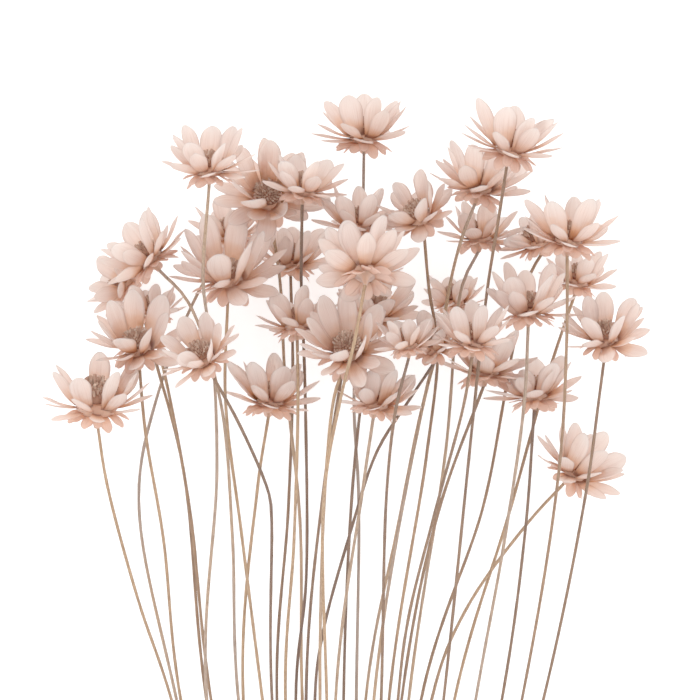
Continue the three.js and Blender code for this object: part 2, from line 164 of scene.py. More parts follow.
# The florets on a disc of radius 1: small open cones that lean outwards, each a little astray
florets = 96
floret_sides = 5
floret_foot = 0.05
floret_mouth = 0.085
floret_rim = floret_mouth / 3
floret_length = 0.5
floret_depth = floret_length / 5
floret_field = 0.97
floret_dome = 0.68
floret_lift = 0.12
floret_lean = 0.8
floret_stray = 0.25
floret_rise = 0.75
floret_unevenness = 0.45
golden_angle = pi * (3 - sqrt(5))

# The camera, in millimetres: the width of its picture at a height over the table, how far it stands
# from there, and in metres how far it sees
view_width = 175
view_height = 35
view_distance = 4000
view_limit = 100

# Light: daylight from all round, and soft lamps. The middle of what they light is in millimetres, and
# each lamp has its place from there and its size in metres, and its power in watts.
daylight = 1.25
lit_middle = (0, 100, 30)
lamps = {
    "window": ((-0.9, 0.9, 1.3), 1.0, 8.5),
    "fill": ((1.2, -0.3, 0.9), 1.2, 5),
}
picture_gamma = 1.5

# The floor is a light table that glows softly. Its size is in metres, and its drop in millimetres.
floor_size = 12
floor_drop = 0.2
floor_glow = 0.35

# Colours along a petal, from its root to its tip, in pink heads and in tan ones
petal_pinks = [
    (0, "b8764c"), (0.07, "e0a680"), (0.17, "eec5b0"), (0.34, "f2ddd8"), (0.9, "f2eae8"), (1, "e4dcdc"),
]
petal_tans = [
    (0, "b07040"), (0.07, "dca474"), (0.17, "ebc8a8"), (0.34, "f1e0d3"), (0.9, "f2ebe4"), (1, "e1d9d4"),
]

# What some petals have more of: a paler pink, and peach near the stem
pale_pink = "ebddd8"
pale_share = 0.3
peach = "f0c4aa"
peach_shares = {"bract": 0.55, "outer": 0.08, "inner": 0, "cup": 0.5}

# Shading of the petals: their rim, their veins and how much light goes through them
rim_shades = [(0.44, "ffffff"), (0.5, "eee5e2")]
vein_shades = [(0.34, "ecdfd9"), (0.46, "fcfaf9"), (0.6, "ffffff")]
vein_share = 0.6
patchiness = 0.5
vein_stretch = (44, 1.5, 70)
light_through = 0.62

# Colours of the discs, the stems, the twine and the floor
# The ground of a disc is brown, made darker as painted shade in the gaps between the florets.
disc_ground_and_gap_shade = "8a5f4b"
disc_mouths = [(0, "a67b66"), (0.5, "c29c86"), (1, "dcc0ab")]
disc_grain = [(0.3, "b4978a"), (0.7, "ffffff")]
grain_share = 0.6
stem_tones = [(0, "695042"), (0.35, "8a6950"), (0.65, "ab8866"), (1, "968173")]
stem_fibres = [(0.3, "8b7668"), (0.65, "ffffff")]
fibre_stretch = (4500, 120, 4500)
fibre_share = 0.7
tone_stretch = (60, 14, 60)
tone_change = 0.8
twine_tones = [(0.3, "8d6f49"), (0.5, "b8966a"), (0.7, "d8bd93")]
floor_tones = [(0.3, "f8f7f6"), (0.7, "fcfbfa")]

# The random numbers: what each is made of from the one before, and where each kind of piece starts
random_step = 1664525
random_shift = 1013904223
random_span = 2 ** 32
seeds = dict(bunch=36, filling=500, paper=1000, florets=5, fray=9)

# Each head: x, y, z of its base, its lean to the right and its turn upwards in degrees, its width, and
# the points that its stem passes from y = 0 on, as (x, y) or, off its straight rise, (x, y, z)
flowers = [
    ((-35, 130.8, 54), 0, 10, 23, [(-35.8, 0), (-33.2, 58), (-34.4, 88, 40.5), (-36.6, 104, 46)]),
    ((-20.5, 125, 26), 0, 62, 25, [(-12, 0, 12), (-12.6, 45, 12.5), (-16.4, 82, 13), (-17.5, 104, 18)]),
    ((-11.8, 125.8, 41), 5, 5, 19,
     [(-13.6, 0, 18), (-11, 30, 19), (-11.2, 74, 19), (-11.6, 88, 19.5), (-12.2, 103, 26)]),
    ((-30, 115, 12), -5, 20, 18, [(-43.8, 0, 6), (-53.2, 50, 5), (-48.8, 75, 5), (-37.2, 103.8, 9)]),
    ((-30.5, 103.8, 30), 0, 25, 29, [(-22, 0), (-27.2, 41.5), (-31.2, 75)]),
    ((-14.8, 108, 13), 5, 10, 20, [(-18.4, 0, 7.5), (-15.5, 48, 8), (-14.4, 82, 8.5)]),
    ((-49, 109, 34), -38, 0, 22.5, [(-28, 0), (-29.5, 41.5), (-32.5, 75), (-40.5, 99.5)]),
    ((-55, 103.2, 9), -60, -10, 18, [(-36.2, 0), (-42, 57.8), (-49.2, 85.8)]),
    ((3.5, 139.2, 26), 0, 5, 24, [(1.6, 0, 13), (2.2, 50, 13), (1, 75, 14), (3.2, 122, 18)]),
    ((1.8, 117, 34), 0, 5, 21, [(-11, 0), (-6.6, 52.8), (-2, 82)]),
    ((17.8, 119.5, 36), -25, 30, 19, [(9.8, 0), (19.2, 61, 20), (22, 88, 22.5), (19.8, 102.5, 30)]),
    ((31.8, 126.2, 36), 12, 0, 24,
     [(6, 0), (18, 72, 18), (23, 92, 21.5), (25, 103.8, 28), (27.8, 115, 33)]),
    ((32.5, 114, 22), 5, -5, 19, [(14.8, 0), (24, 62), (28.2, 103.8)]),
    ((3.8, 105.5, 58), 0, -35, 25, [(-5.8, 0), (-6.4, 52, 56), (-2.2, 76, 61.5), (1.2, 90, 63)]),
    ((39.5, 135.8, 54), 12, 10, 24.5,
     [(23.4, 0), (30.2, 65, 34), (33, 92, 39.5), (34.6, 105, 41.5), (37, 120, 47)]),
    ((54.2, 113.2, 52), 5, 5, 24, [(43, 0), (52.2, 58), (54, 90)]),
    ((47.5, 113, 22), -20, 5, 17.5,
     [(18, 0, 8.5), (33.5, 48.2, 11.5), (38.5, 73.8, 12.5), (41, 88, 13.5), (45.2, 106.5, 19)]),
    ((56.8, 103, 9), 10, 0, 17.5, [(26.4, 0), (40.2, 47), (49.8, 81.2)]),
    ((63.8, 88.8, 38), 0, 25, 22.5, [(48.5, 0), (59.2, 52.8), (62.2, 75)]),
    ((44.5, 95.5, 42), 0, 5, 23.5, [(31.5, 0), (38.5, 39), (43.5, 74)]),
    ((26.2, 98, 8), 0, 0, 15, [(4, 0), (12.2, 43.8), (18, 72.5), (22.2, 88)]),
    ((6, 95.5, 24), 15, 30, 21, [(-1.6, 0), (0.8, 55, 19), (4.6, 88)]),
    ((-13.2, 91.8, 32), 0, -10, 19, [(-16.2, 0), (-14, 40, 32), (-13, 74, 36)]),
    ((-0.5, 86.2, 42.5), -5, 45, 26, [(-7.5, 0), (-5.6, 62), (-3.4, 78)]),
    ((6.2, 72.5, 38), 12, 5, 20.5, [(-3.6, 0), (3.2, 52.8)]),
    ((14.5, 87.2, 52), -5, 0, 15, [(7.8, 0), (9.2, 52.8), (11.5, 73.2)]),
    ((21.5, 86.8, 34), -10, 20, 16.5,
     [(-8.8, 0, 23.2), (-6.8, 16.5, 24), (0, 41.5), (6.8, 62.2), (14.5, 74.5, 30)]),
    ((30.5, 87.8, 51), 0, 5, 21, [(12, 0), (14.5, 20), (21.2, 47), (28.2, 73.2)]),
    ((33.8, 80.5, 27), 5, 0, 23.5, [(13, 0), (22.2, 47), (31.8, 74)]),
    ((46.2, 74.5, 25), 0, 0, 22, [(38.2, 0), (44, 42.5)]),
    ((55.2, 55.8, 20), 38, 15, 23, [(20.6, 0), (29, 22, 13), (44.8, 44.2, 15)]),
    ((-53, 87, 32), -5, 35, 24, [(-42.5, 0), (-46.8, 40.5), (-51.2, 66.8)]),
    ((-36.2, 84.5, 50), -30, 35, 20, [(-19.5, 0), (-19.6, 46), (-20.2, 51.5), (-27.5, 68.8)]),
    ((-63.2, 71.2, 38), 0, 15, 22.5, [(-44.8, 0), (-53, 24.8), (-60.8, 54.2)]),
    ((-20.2, 73, 26), 5, 3, 23, [(-26.8, 0), (-23.2, 52.8)]),
    ((-49.5, 95.5, 17), 0, 0, 15, [(-35, 0), (-40.2, 47), (-45.2, 75, 13.5)]),
]

# These heads lie on the surface, one on each side, past the middle of the weight
resting = [8, 18]

# The mount under the tie ties the table to the frame
rest = frame["record"]["mounts"][0]["pos_m"]
zero = Vector((rest[0], rest[1] - tie_y * mm, 0))


def random_from(seed):
    """Repeatable random numbers between -1 and 1."""
    state = seed

    def draw():
        nonlocal state
        state = (state * random_step + random_shift) % random_span
        return 2 * state / random_span - 1

    return draw


def share_from(draw):
    """A random share, between 0 and 1."""
    return 0.5 + 0.5 * draw()


# Heads and petals in numbers


def place_flower(number, row):
    """A head with its frame: its base, the way it looks and two sides at right angles."""
    at, lean, face, width, stem = row
    lean = radians(lean)
    face = radians(face)
    axis = Vector((sin(lean) * cos(face), cos(lean) * cos(face), sin(face)))
    right = Vector((cos(lean), -sin(lean), 0))
    heart = large_discs.get(number, 1)
    return dict(
        number=number,
        heart=heart,
        base=Vector(at),
        axis=axis,
        right=right,
        back=axis.cross(right),
        width=width,
        scale=heart * sqrt(width / full_head),
        count=next(count for up_to, count in petal_counts if width <= up_to),
        stem=stem,
    )


def around(flower, radius, angle, height):
    """A point beside a head's axis."""
    return (flower["base"] + flower["right"] * radius * cos(angle)
            + flower["back"] * radius * sin(angle) + flower["axis"] * height)


def draw_petals(flower, whorls, draw):
    """The petals of some whorls as they would stand with nothing near them."""
    half = flower["width"] / 2
    crowding = usual_count / flower["count"]
    petals = []
    for whorl in whorls:
        for index in range(flower["count"]):
            petals.append(dict(
                whorl=whorl,
                angle=tau * (index + whorl["turn"] + first_petal) / flower["count"],
                length=half * whorl["length"] * (1 + spread["length"] * draw()),
                width=half * whorl["width"] * crowding * (1 + spread["width"] * draw()),
                sway=spread["sway"] * draw(),
                bend=spread["bend"] * draw(),
                twirl=twirl * sin(twirl_pace * len(petals) + flower["number"]),
                loose=loose_bend * sin(loose_pace * len(petals) + 2 * flower["number"]),
            ))
    return petals


def petal_points(flower, petal, pattern, tilt=0, reach=1):
    """The points of a flat petal pattern, laid along the petal's own curve."""
    whorl = petal["whorl"]
    outward = around(flower, 1, petal["angle"], 0) - flower["base"]
    sideways = flower["axis"].cross(outward)
    twist = radians(whorl["twist"] + petal["twirl"])
    start = whorl["rise"] + petal["bend"] + petal["loose"] + tilt
    radius, height = whorl["root"]
    spots = {}
    spot = around(flower, radius * flower["scale"], petal["angle"], height * flower["scale"])
    gone = 0
    points = []
    for x, y, z in pattern:
        station = round(max(y, 0), 4)
        if station not in spots:
            slope = radians(start + whorl["curl"] * (gone + station) / 2)
            along = outward * cos(slope) + flower["axis"] * sin(slope) + sideways * petal["sway"]
            across = Matrix.Rotation(twist, 3, along) @ sideways
            spot = spot + along * petal["length"] * reach * (station - gone)
            gone = station
            spots[station] = (spot, across, along.cross(across).normalized())
        middle, across, up = spots[station]
        side = 2 * x
        lift = whorl["cup"] * petal["width"] * side * side + z * petal["width"]
        points.append(middle + across * x * petal["width"] + up * lift)
    return points


def box_of(points):
    """Lowest and highest corner round some points."""
    return (Vector([min(p[i] for p in points) for i in range(3)]),
            Vector([max(p[i] for p in points) for i in range(3)]))


def apart(first, second):
    """True if two boxes don't touch."""
    return any(first[0][i] > second[1][i] or second[0][i] > first[1][i] for i in range(3))


def clear_petal(flower, petal, pattern, faces, others):
    """Bends a petal little by little, and shortens it if need be, until it crosses nothing near."""
    for reach in reaches:
        for tilt in bends:
            points = petal_points(flower, petal, pattern, tilt, reach)
            box = box_of(points)
            near = [tree for other, tree in others if not apart(box, other)]
            above = box[0].z > surface_gap - rounding
            tree = BVHTree.FromPolygons(points, faces)
            if above and not any(tree.overlap(other) for other in near):
                return points, box, tree
    return points, box, tree


# Ways of the stems


def smooth_way(path, step):
    """Points every so often along a smooth curve through the path."""
    ends = [2 * path[0] - path[1], *path, 2 * path[-1] - path[-2]]
    points = []
    for before, start, end, after in zip(ends, ends[1:], ends[2:], ends[3:]):
        first, middle, last = (sqrt((b - a).length) for a, b in
                               ((before, start), (start, end), (end, after)))
        leave = ((start - before) / first - (end - before) / (first + middle)
                 + (end - start) / middle) * middle
        reach = ((end - start) / middle - (after - start) / (middle + last)
                 + (after - end) / last) * middle
        count = max(1, round((end - start).length / step))
        for i in range(count):
            t = i / count
            points.append(start + leave * t + (3 * (end - start) - 2 * leave - reach) * t ** 2
                          + (leave + reach - 2 * (end - start)) * t ** 3)
    return points + [path[-1]]


def stem_way(flower):
    """The upper part of a stem's way, from where the fan opens to just under its head."""
    base = flower["base"]
    points = []
    for x, y, *z in flower["stem"]:
        straight = tie_height + (base.z - tie_height) * (fan_share + (1 - fan_share) * y / base.y)
        points.append(Vector((x, y, *(z or [straight]))))
    return [*points, base - flower["axis"] * neck_rise]


def share_out(pairs):
    """Where each pair of stems stands in the tie: columns from left to right, rows from the lowest up."""
    waiting = list(pairs)
    slots = []
    for column, rows in enumerate(tie_columns):
        taken, waiting = waiting[:rows], waiting[rows:]
        taken.sort(key=lambda pair: pair[0]["base"].z + pair[1]["base"].z)
        for row, pair in enumerate(taken):
            x = (column - (len(tie_columns) - 1) / 2) * slot_pitch
            z = tie_height + (row - (rows - 1) / 2) * slot_pitch
            slots.append((pair, Vector((x, tie_y, z))))
    return slots


def pair_ways(pair, slot, draw):
    """The whole ways of two stems that stand side by side in one place of the tie."""
    ways = [stem_way(flower) for flower in pair]
    middle = (ways[0][0] + ways[1][0]) / 2
    fork = slot.lerp(middle, 1 - fork_y / tie_y)
    end = Vector((slot.x * end_spread, cut_y + cut_spread * draw(),
                  tie_height + (slot.z - tie_height) * end_spread))
    beside = Vector((strand_offset, 0, strand_offset))
    if ways[0][0].x > ways[1][0].x:
        beside.negate()
    return [[end + side * beside, slot + side * beside, fork + side * beside, *way]
            for side, way in zip((-1, 1), ways)]


# Modelling by hand


def select_only(*pieces):
    """Only these pieces are selected, and the first is the active one."""
    bpy.ops.object.select_all(action="DESELECT")
    for piece in pieces:
        piece.select_set(True)
    bpy.context.view_layer.objects.active = pieces[0]


def join(pieces, name):
    """Several pieces become one mesh."""
    select_only(*pieces)
    bpy.ops.object.join()
    piece = bpy.context.object
    piece.name = piece.data.name = name
    return piece


def pick(piece, chosen):
    """Edit mode, with only the points selected that the test picks."""
    bpy.ops.object.mode_set(mode="EDIT")
    bpy.ops.mesh.select_all(action="DESELECT")
    bpy.ops.object.mode_set(mode="OBJECT")
    for point in piece.data.vertices:
        point.select = chosen(point.co)
    bpy.ops.object.mode_set(mode="EDIT")


def copy_of(pattern, name):
    """A copy of a pattern with a mesh of its own."""
    piece = bpy.data.objects.new(name, pattern.data.copy())
    bpy.context.collection.objects.link(piece)
    return piece


def give_tone(piece, name, value):
    """The same number at every point of a piece, for its material."""
    tone = piece.data.attributes.new(name, "FLOAT", "POINT")
    tone.data.foreach_set("value", [value] * len(piece.data.vertices))


def faces_of(piece):
    """The faces of a mesh, each as a list of its points."""
    return [list(face.vertices) for face in piece.data.polygons]


def smooth(piece):
    """Smooth shading all over."""
    select_only(piece)
    bpy.ops.object.shade_smooth()


def model_petal(form):
    """A flat petal 1 long and 1 wide: a sheet of rows that are narrowed and moved to its outline. The
    rows that are done wait clear of the others, and then the whole petal moves back."""
    rows = len(petal_rows)
    clear = 2
    bpy.ops.mesh.primitive_grid_add(x_subdivisions=petal_columns, y_subdivisions=rows - 1, size=1,
                                    location=(0, 0, 0))
    petal = bpy.context.object
    petal.name = form
    for row, (y, width) in enumerate(zip(petal_rows, petal_forms[form])):
        old = row / (rows - 1) - 0.5
        pick(petal, lambda point: abs(point.y - old) < same_row)
        bpy.ops.transform.resize(value=(width, 1, 1), center_override=(0, 0, 0))
        bpy.ops.transform.translate(value=(0, y - old + clear, 0))
    bpy.ops.mesh.select_all(action="SELECT")
    bpy.ops.transform.translate(value=(0, -clear, 0))
    bpy.ops.object.mode_set(mode="OBJECT")
    return petal


def turn_profile(profile, sides):
    """A closed shape turned about Z: a disc that is drawn out and scaled from rim to rim."""
    radius, height = profile[0]
    bpy.ops.mesh.primitive_circle_add(vertices=sides, radius=radius, fill_type="NGON",
                                      location=(0, 0, height))
    piece = bpy.context.object
    bpy.ops.object.transform_apply(location=True, rotation=False, scale=False)
    bpy.ops.object.mode_set(mode="EDIT")
    bpy.ops.mesh.select_all(action="SELECT")
    for next_radius, next_height in profile[1:]:
        bpy.ops.mesh.extrude_region_move(TRANSFORM_OT_translate={"value": (0, 0, next_height - height)})
        share = next_radius / radius
        bpy.ops.transform.resize(value=(share, share, 1), center_override=(0, 0, 0))
        radius, height = next_radius, next_height
    bpy.ops.mesh.select_all(action="SELECT")
    bpy.ops.mesh.normals_make_consistent(inside=False)
    bpy.ops.object.mode_set(mode="OBJECT")
    return piece


def model_disc():
    """The domed disc, 1 in radius and 1 high, packed with small open florets in spirals."""
    dome = turn_profile(disc_profile, disc_sides)
    bpy.ops.mesh.primitive_cone_add(vertices=floret_sides, radius1=floret_foot, radius2=floret_mouth,
                                    depth=floret_length, end_fill_type="NGON", location=(0, 0, 0))
    floret = bpy.context.object
    pick(floret, lambda point: point.z > 0)
    bpy.ops.mesh.inset(thickness=floret_rim, depth=0)
    bpy.ops.transform.translate(value=(0, 0, -floret_depth))
    bpy.ops.object.mode_set(mode="OBJECT")
    copies = []
    draw = random_from(seeds["florets"])
    for i in range(florets):
        share = (i + 0.5) / florets
        radius = sqrt(share) * floret_field
        angle = i * golden_angle
        x = radius * cos(angle)
        y = radius * sin(angle)
        height = floret_dome * sqrt(max(1 - radius ** 2, 0))
        outward = Vector((x * floret_lean + floret_stray * draw(), y * floret_lean + floret_stray * draw(),
                          floret_rise))
        turned = outward.to_track_quat("Z", "Y").to_matrix().to_4x4()
        longer = Matrix.Scale(1 + floret_unevenness * draw(), 4, (0, 0, 1))
        copy = copy_of(floret, "floret")
        copy.data.transform(Matrix.Translation((x, y, floret_lift + height)) @ turned @ longer)
        give_tone(copy, "tone", share_from(draw))
        give_tone(copy, "depth", 1.0)
        copies.append(copy)
    bpy.data.objects.remove(floret)
    give_tone(dome, "tone", middle_tone)
    # A depth of 0 marks the dome, which the discs' look darkens with painted shade between the florets.
    give_tone(dome, "depth", 0.0)
    return join([dome, *copies], "disc")


def head_matrix(flower, across, height, lift):
    """Takes a pattern that stands on Z to its place in a head, in metres."""
    turned = Matrix((flower["right"], flower["back"], flower["axis"])).transposed().to_4x4()
    place = Matrix.Translation(zero) @ Matrix.Scale(mm, 4) @ Matrix.Translation(flower["base"]) @ turned
    return place @ Matrix.Translation((0, 0, lift)) @ Matrix.Diagonal((across, across, height, 1))


def make_tube(name, points, radii, roundness=2):
    """A round stem along points, in millimetres, made as a curve with a bevel."""
    curve = bpy.data.curves.new(name, "CURVE")
    curve.dimensions = "3D"
    curve.bevel_depth = mm
    curve.bevel_resolution = roundness
    curve.use_fill_caps = True
    line = curve.splines.new("POLY")
    line.points.add(len(points) - 1)
    for spot, point, radius in zip(line.points, points, radii):
        spot.co = (*(point * mm + zero), 1)
        spot.radius = radius
    tube = bpy.data.objects.new(name, curve)
    bpy.context.collection.objects.link(tube)
    select_only(tube)
    bpy.ops.object.convert(target="MESH")
    return tube


# Materials


def add_node(look, kind, **settings):
    """A new shader node with its settings."""
    node = look.node_tree.nodes.new(kind)
    for name, value in settings.items():
        setattr(node, name, value)
    return node


def wire(look, start, end):
    """A link from one socket to another."""
    look.node_tree.links.new(start, end)


def colour(code):
    """A colour as Blender takes it, from its six-figure code."""
    parts = [int(code[i:i + 2], 16) / 255 for i in (0, 2, 4)]
    return (*[(part / 12.92 if part < 0.04045 else ((part + 0.055) / 1.055) ** 2.4) for part in parts], 1)


def new_look(name, roughness, specular):
    """A material and its shader."""
    look = bpy.data.materials.new(name)
    look.use_nodes = True
    shader = look.node_tree.nodes["Principled BSDF"]
    shader.inputs["Roughness"].default_value = roughness
    shader.inputs["Specular IOR Level"].default_value = specular
    return look, shader


def ramp(look, value, stops):
    """Colours along a value, as pairs of place and colour code."""
    node = add_node(look, "ShaderNodeValToRGB")
    elements = node.color_ramp.elements
    for place, code in stops[1:-1]:
        elements.new(place).color = colour(code)
    elements[0].position, elements[0].color = stops[0][0], colour(stops[0][1])
    elements[-1].position, elements[-1].color = stops[-1][0], colour(stops[-1][1])
    wire(look, value, node.inputs["Fac"])
    return node.outputs["Color"]


def sums(look, operation, first, second=None, third=None):
    """Arithmetic with numbers or sockets."""
    node = add_node(look, "ShaderNodeMath", operation=operation)
    for socket, value in zip(node.inputs, (first, second, third)):
        if isinstance(value, (int, float)):
            socket.default_value = value
        elif value is not None:
            wire(look, value, socket)
    return node.outputs[0]


def blend(look, share, first, second, kind="MIX"):
    """Two colours mixed by a share."""
    node = add_node(look, "ShaderNodeMix", data_type="RGBA", blend_type=kind)
    for socket, value in ((node.inputs[0], share), (node.inputs[6], first), (node.inputs[7], second)):
        if isinstance(value, (int, float, tuple)):
            socket.default_value = value
        else:
            wire(look, value, socket)
    return node.outputs[2]


def noise(look, vector, scale, detail):
    """Cloudy noise between 0 and 1."""
    node = add_node(look, "ShaderNodeTexNoise")
    node.inputs["Scale"].default_value = scale
    node.inputs["Detail"].default_value = detail
    wire(look, vector, node.inputs["Vector"])
    return node.outputs["Fac"]


def stretched(look, vector, scale):
    """Coordinates that are scaled along each axis."""
    node = add_node(look, "ShaderNodeMapping")
    node.inputs["Scale"].default_value = scale
    wire(look, vector, node.inputs["Vector"])
    return node.outputs["Vector"]


def number_of(look, name):
    """The number that the points of a piece carry under a name."""
    return add_node(look, "ShaderNodeAttribute", attribute_name=name).outputs["Fac"]


def add_bump(look, shader, height, strength, distance):
    """Fine relief on a shader."""
    node = add_node(look, "ShaderNodeBump")
    node.inputs["Strength"].default_value = strength
    node.inputs["Distance"].default_value = distance
    wire(look, height, node.inputs["Height"])
    wire(look, node.outputs["Normal"], shader.inputs["Normal"])
    return node.outputs["Normal"]


def petal_look():
    """Papery and thin: peach at the root, dusty pink and then pale, with fine veins along it."""
    look, shader = new_look("petals", roughness=0.78, specular=0.2)
    chart = add_node(look, "ShaderNodeUVMap", uv_map="UVMap").outputs["UV"]
    spot = add_node(look, "ShaderNodeTexCoord").outputs["Object"]
    split = add_node(look, "ShaderNodeSeparateXYZ")
    wire(look, chart, split.inputs[0])
    across, along = split.outputs[0], split.outputs[1]
    tone = number_of(look, "tone")
    head = number_of(look, "head")

    line = add_node(look, "ShaderNodeCombineXYZ")
    for value, factor, socket in zip((across, along, tone), vein_stretch, line.inputs):
        wire(look, sums(look, "MULTIPLY", value, factor), socket)
    veins = noise(look, line.outputs[0], scale=1, detail=3)
    patches = noise(look, spot, scale=160, detail=3)

    place = sums(look, "MULTIPLY_ADD", sums(look, "SUBTRACT", patches, 0.5), patchiness, along)
    pink = ramp(look, place, petal_pinks)
    tan = ramp(look, place, petal_tans)
    base = blend(look, head, pink, tan)
    base = blend(look, sums(look, "MULTIPLY", tone, pale_share), base, colour(pale_pink))
    base = blend(look, number_of(look, "peach"), base, colour(peach))
    side = sums(look, "ABSOLUTE", sums(look, "SUBTRACT", across, 0.5))
    base = blend(look, 1, base, ramp(look, side, rim_shades), "MULTIPLY")
    base = blend(look, vein_share, base, ramp(look, veins, vein_shades), "MULTIPLY")
    wire(look, base, shader.inputs["Base Color"])
    shader.inputs["Sheen Weight"].default_value = 0.15
    normal = add_bump(look, shader, veins, strength=0.5, distance=0.0003)

    through = add_node(look, "ShaderNodeBsdfTranslucent")
    wire(look, base, through.inputs["Color"])
    wire(look, normal, through.inputs["Normal"])
    both = add_node(look, "ShaderNodeMixShader")
    both.inputs["Fac"].default_value = light_through
    wire(look, shader.outputs[0], both.inputs[1])
    wire(look, through.outputs[0], both.inputs[2])
    wire(look, both.outputs[0], look.node_tree.nodes["Material Output"].inputs["Surface"])
    return look


def disc_look():
    """Brown between the florets, darker there as painted shade in the gaps, and tan at their mouths."""
    look, shader = new_look("discs", roughness=0.9, specular=0.15)
    spot = add_node(look, "ShaderNodeTexCoord").outputs["Object"]
    grain = noise(look, spot, scale=900, detail=3)
    mouth = ramp(look, number_of(look, "tone"), disc_mouths)
    # Darker brown on the dome between the florets: painted shade in the gaps.
    base = blend(look, number_of(look, "depth"), colour(disc_ground_and_gap_shade), mouth)
    base = blend(look, grain_share, base, ramp(look, grain, disc_grain), "MULTIPLY")
    wire(look, base, shader.inputs["Base Color"])
    add_bump(look, shader, grain, strength=0.6, distance=0.0002)
    return look


def stem_look():
    """Dry and striated, tan to brown, each stem in its own shade."""
    look, shader = new_look("stems", roughness=0.8, specular=0.25)
    spot = add_node(look, "ShaderNodeTexCoord").outputs["Object"]
    fibres = noise(look, stretched(look, spot, fibre_stretch), scale=1, detail=3)
    stretches = noise(look, stretched(look, spot, tone_stretch), scale=1, detail=2)
    change = sums(look, "SUBTRACT", stretches, 0.5)
    tone = sums(look, "MULTIPLY_ADD", change, tone_change, number_of(look, "tone"))
    base = ramp(look, tone, stem_tones)
    base = blend(look, fibre_share, base, ramp(look, fibres, stem_fibres), "MULTIPLY")
    wire(look, base, shader.inputs["Base Color"])
    add_bump(look, shader, fibres, strength=0.5, distance=0.0002)
    return look


def twine_look():
    """Pale brown fibres."""
    look, shader = new_look("twine", roughness=0.95, specular=0.1)
    spot = add_node(look, "ShaderNodeTexCoord").outputs["Object"]
    fibres = noise(look, spot, scale=2600, detail=4)
    base = ramp(look, fibres, twine_tones)
    wire(look, base, shader.inputs["Base Color"])
    add_bump(look, shader, fibres, strength=0.7, distance=0.0003)
    return look


def floor_look():
    """Plain and pale, with the faintest unevenness."""
    look, shader = new_look("floor", roughness=0.9, specular=0.1)
    spot = add_node(look, "ShaderNodeTexCoord").outputs["Object"]
    base = ramp(look, noise(look, spot, scale=6, detail=2), floor_tones)
    wire(look, base, shader.inputs["Base Color"])
    shader.inputs["Emission Color"].default_value = colour("ffffff")
    shader.inputs["Emission Strength"].default_value = floor_glow
    return look


# The pieces


def make_stems(pairs, draw):
    """Every stem runs alone from its cut end, through the tie, to its head."""
    look = stem_look()
    stems = {}
    for pair, slot in share_out(pairs):
        node = "stems_" + "_".join(f"{flower['number']:02d}" for flower in pair)
        for flower, way in zip(pair, pair_ways(pair, slot, draw)):
            points = smooth_way(way, point_step)
            thin = random_from(flower["number"])
            radii = []
            for point in points:
                radius = stalk_radius if point.y < fork_y else stem_radius
                radii.append(radius * (1 + stem_unevenness * thin()))
            stem = make_tube(f"stem_{flower['number']:02d}", points, radii)
            give_tone(stem, "tone", share_from(thin))
            stem.data.materials.append(look)
            smooth(stem)
            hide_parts(node)
            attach(stem, "root")
            stems[flower["number"]] = stem
    return stems


def make_heads(heads, stems, patterns, shapes):
    """The petals of each head, clear of the stems and of the heads before it, and its disc."""
    faces = {form: faces_of(pattern) for form, pattern in patterns.items()}
    cup = turn_profile(cup_profile, cup_sides)
    disc_pattern = model_disc()
    paper = petal_look()
    brown = disc_look()

    placed = []
    for number, stem in stems.items():
        points = [(point.co - zero) / mm for point in stem.data.vertices]
        placed.append((number, box_of(points), BVHTree.FromPolygons(points, faces_of(stem))))

    def rank(flower):
        low = flower["number"] in resting
        return (low, 0 if low else flower["base"].z)

    for flower in sorted(heads, key=rank, reverse=True):
        number = flower["number"]
        others = [(box, tree) for owner, box, tree in placed if owner != number]
        draw = random_from(seeds["paper"] + number)
        head_tone = share_from(draw)
        petals = []
        for petal in flower["petals"]:
            form = petal["whorl"]["form"]
            points, box, tree = clear_petal(flower, petal, shapes[form], faces[form], others)
            placed.append((number, box, tree))
            piece = copy_of(patterns[form], "petal")
            ruffle = ruffle_height * draw()
            phase = ruffle_start * draw()
            for vertex, point, flat in zip(piece.data.vertices, points, shapes[form]):
                wave = ruffle * sin(ruffle_pace * flat.y + phase) * (2 * flat.x) ** 2
                vertex.co = (point + flower["axis"] * wave) * mm + zero
            give_tone(piece, "tone", share_from(draw))
            give_tone(piece, "head", head_tone)
            give_tone(piece, "peach", peach_shares[form])
            petals.append(piece)
        head = join(petals, f"petals_{number:02d}")
        thickness = head.modifiers.new("paper", "SOLIDIFY")
        thickness.thickness = petal_thickness * mm
        thickness.offset = 0
        bpy.ops.object.modifier_apply(modifier="paper")

        socket = copy_of(cup, "cup")
        scale = flower["scale"]
        socket.data.transform(head_matrix(flower, scale, scale, 0))
        give_tone(socket, "tone", middle_tone)
        give_tone(socket, "head", head_tone)
        give_tone(socket, "peach", peach_shares["cup"])
        head = join([head, socket], f"petals_{number:02d}")
        head.data.materials.clear()
        head.data.materials.append(paper)
        smooth(head)
        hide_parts(f"bloom_{number:02d}")
        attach(head, "root")

        disc = copy_of(disc_pattern, f"disc_{number:02d}")
        low = ring_height * scale + disc_gap
        disc.data.transform(head_matrix(flower, disc_radius * scale, disc_height * flower["heart"], low)
                            @ Matrix.Rotation(pi * draw(), 4, "Z"))
        disc.data.materials.append(brown)
        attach(disc, "root")

    for pattern in [*patterns.values(), cup, disc_pattern]:
        bpy.data.objects.remove(pattern)


def twisted(points, radius, turns_every):
    """Two strands laid round a path, in millimetres, twisted about each other."""
    strands = [[], []]
    gone = 0
    for i, point in enumerate(points):
        before, after = points[max(i - 1, 0)], points[min(i + 1, len(points) - 1)]
        gone += (point - before).length
        along = (after - before).normalized()
        side = along.cross(Vector((0, 1, 0))).normalized()
        over = along.cross(side)
        for strand, start in zip(strands, (0, pi)):
            angle = start + tau * gone / turns_every
            strand.append(point + radius * (side * cos(angle) + over * sin(angle)))
    return strands


